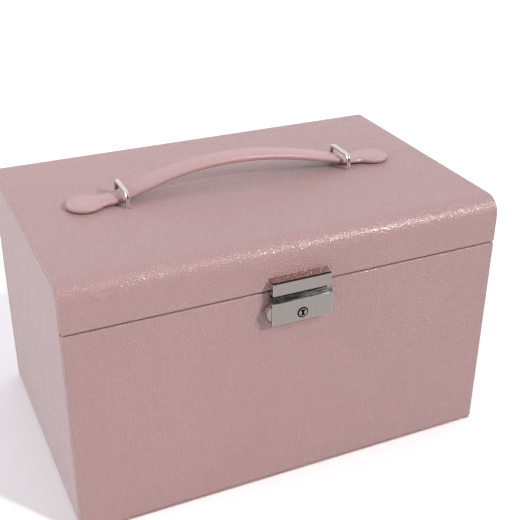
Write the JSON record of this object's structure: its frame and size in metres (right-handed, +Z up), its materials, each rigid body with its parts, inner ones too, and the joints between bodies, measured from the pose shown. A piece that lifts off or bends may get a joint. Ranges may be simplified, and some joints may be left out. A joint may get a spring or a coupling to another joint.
{
  "type": "jewellery chest",
  "caption": "Leatherette jewellery chest with a hinged lid over a lined tray, a drop front over drawers, a hasp lock and a strap handle.",
  "frame": {"origin": "centre of the underside of the case", "axes": "+X right along the width seen from the front, +Y to the back, +Z up"},
  "size_m": [0.29, 0.201, 0.195],
  "materials": {
    "pink_leatherette": "satin grained leatherette",
    "handle_leather": "smooth padded leather, soft gloss",
    "drawer_leatherette": "satin grained leatherette",
    "lining_velvet": "short-pile velvet",
    "lined_board": "board covered in short-pile velvet",
    "lock_chrome": "polished",
    "hinge_nickel": "nickel plated",
    "spring_steel": "drawn wire",
    "mirror_glass": "silvered glass"
  },
  "bodies": {
    "case": {"base_cover": "pink_leatherette", "base_panel": "lined_board", "plinth_rail": "lined_board", "back_panel": "pink_leatherette", "side_panel_left": "pink_leatherette", "side_panel_right": "pink_leatherette", "drawer_shelf_lower": "lined_board", "drawer_shelf_upper": "lined_board", "drawer_bay_floor": "lined_board", "tray_deck": "lined_board", "tray_front_rail": "lined_board", "tray_back_rail": "lined_board", "tray_floor_pad": "lining_velvet", "tray_divider_left": "lining_velvet", "tray_divider_right": "lining_velvet", "tray_centre_divider": "lining_velvet", "ring_roll_1": "lining_velvet", "ring_roll_2": "lining_velvet", "ring_roll_3": "lining_velvet", "ring_roll_4": "lining_velvet", "ring_tray_divider": "lining_velvet", "hinge_case_leaf_left": "hinge_nickel", "hinge_case_leaf_right": "hinge_nickel", "hinge_pin_left": "hinge_nickel", "hinge_pin_right": "hinge_nickel", "hinge_case_screws": "hinge_nickel"},
    "lid": {"lid_shell": "pink_leatherette", "lid_lining": "lining_velvet", "lid_mirror": "mirror_glass", "mirror_border": "lining_velvet", "loop_fixing_plates": "hinge_nickel", "handle_loop_left": "lock_chrome", "handle_loop_right": "lock_chrome", "hinge_lid_leaf_left": "hinge_nickel", "hinge_lid_leaf_right": "hinge_nickel", "hinge_lid_screws": "hinge_nickel", "hasp_cover": "lock_chrome", "hasp_tongue": "lock_chrome"},
    "handle": {"handle_strap": "handle_leather"},
    "flap": {"flap_panel": "pink_leatherette", "flap_lining": "lining_velvet", "lock_base_plate": "lock_chrome", "lock_housing": "lock_chrome", "lock_spring_left": "spring_steel", "lock_spring_right": "spring_steel"},
    "lock_button_left": {"lock_button_left": "lock_chrome"},
    "lock_button_right": {"lock_button_right": "lock_chrome"},
    "lock_cylinder": {"lock_cylinder": "lock_chrome"},
    "lower_drawer": {"lower_drawer_front": "drawer_leatherette", "lower_drawer_box": "lined_board", "lower_drawer_pad": "lining_velvet", "lower_drawer_knob": "lock_chrome"},
    "middle_drawer": {"middle_drawer_front": "drawer_leatherette", "middle_drawer_box": "lined_board", "middle_drawer_pad": "lining_velvet", "middle_drawer_knob": "lock_chrome"},
    "upper_drawer": {"upper_drawer_front": "drawer_leatherette", "upper_drawer_box": "lined_board", "upper_drawer_pad": "lining_velvet", "upper_drawer_knob": "lock_chrome"}
  },
  "joints": [
    {"name": "lid_hinge", "type": "hinge", "parent": "case", "child": "lid", "pos_m": [0, 0.0968, 0.144], "axis": [-1, 0, 0], "range_deg": [0, 95]},
    {"name": "flap_hinge", "type": "hinge", "parent": "case", "child": "flap", "pos_m": [0, -0.0944, 0.0006], "axis": [1, 0, 0], "range_deg": [0, 86]},
    {"name": "handle_lift", "type": "slide", "parent": "lid", "child": "handle", "axis": [0, 0, 1], "range_m": [0, 0.002]},
    {"name": "lock_button_left_press", "type": "slide", "parent": "flap", "child": "lock_button_left", "axis": [1, 0, 0], "range_m": [0, 0.0015], "stiffness_N_per_m": 400, "springref_m": -0.002, "deforming": ["lock_spring_left"]},
    {"name": "lock_button_right_press", "type": "slide", "parent": "flap", "child": "lock_button_right", "axis": [-1, 0, 0], "range_m": [0, 0.0015], "stiffness_N_per_m": 400, "springref_m": -0.002, "deforming": ["lock_spring_right"]},
    {"name": "lock_cylinder_turn", "type": "hinge", "parent": "flap", "child": "lock_cylinder", "pos_m": [0, -0.1, 0.129], "axis": [0, 1, 0], "range_deg": [0, 90]},
    {"name": "lower_drawer_slide", "type": "slide", "parent": "case", "child": "lower_drawer", "axis": [0, -1, 0], "range_m": [0, 0.13]},
    {"name": "middle_drawer_slide", "type": "slide", "parent": "case", "child": "middle_drawer", "axis": [0, -1, 0], "range_m": [0, 0.13]},
    {"name": "upper_drawer_slide", "type": "slide", "parent": "case", "child": "upper_drawer", "axis": [0, -1, 0], "range_m": [0, 0.13]}
  ],
  "couplings": [
    {"joint": "lower_drawer_slide", "follows": "flap_hinge", "m_per_rad": 0.029},
    {"joint": "middle_drawer_slide", "follows": "flap_hinge", "m_per_rad": 0.066},
    {"joint": "upper_drawer_slide", "follows": "flap_hinge", "m_per_rad": 0.0866}
  ]
}
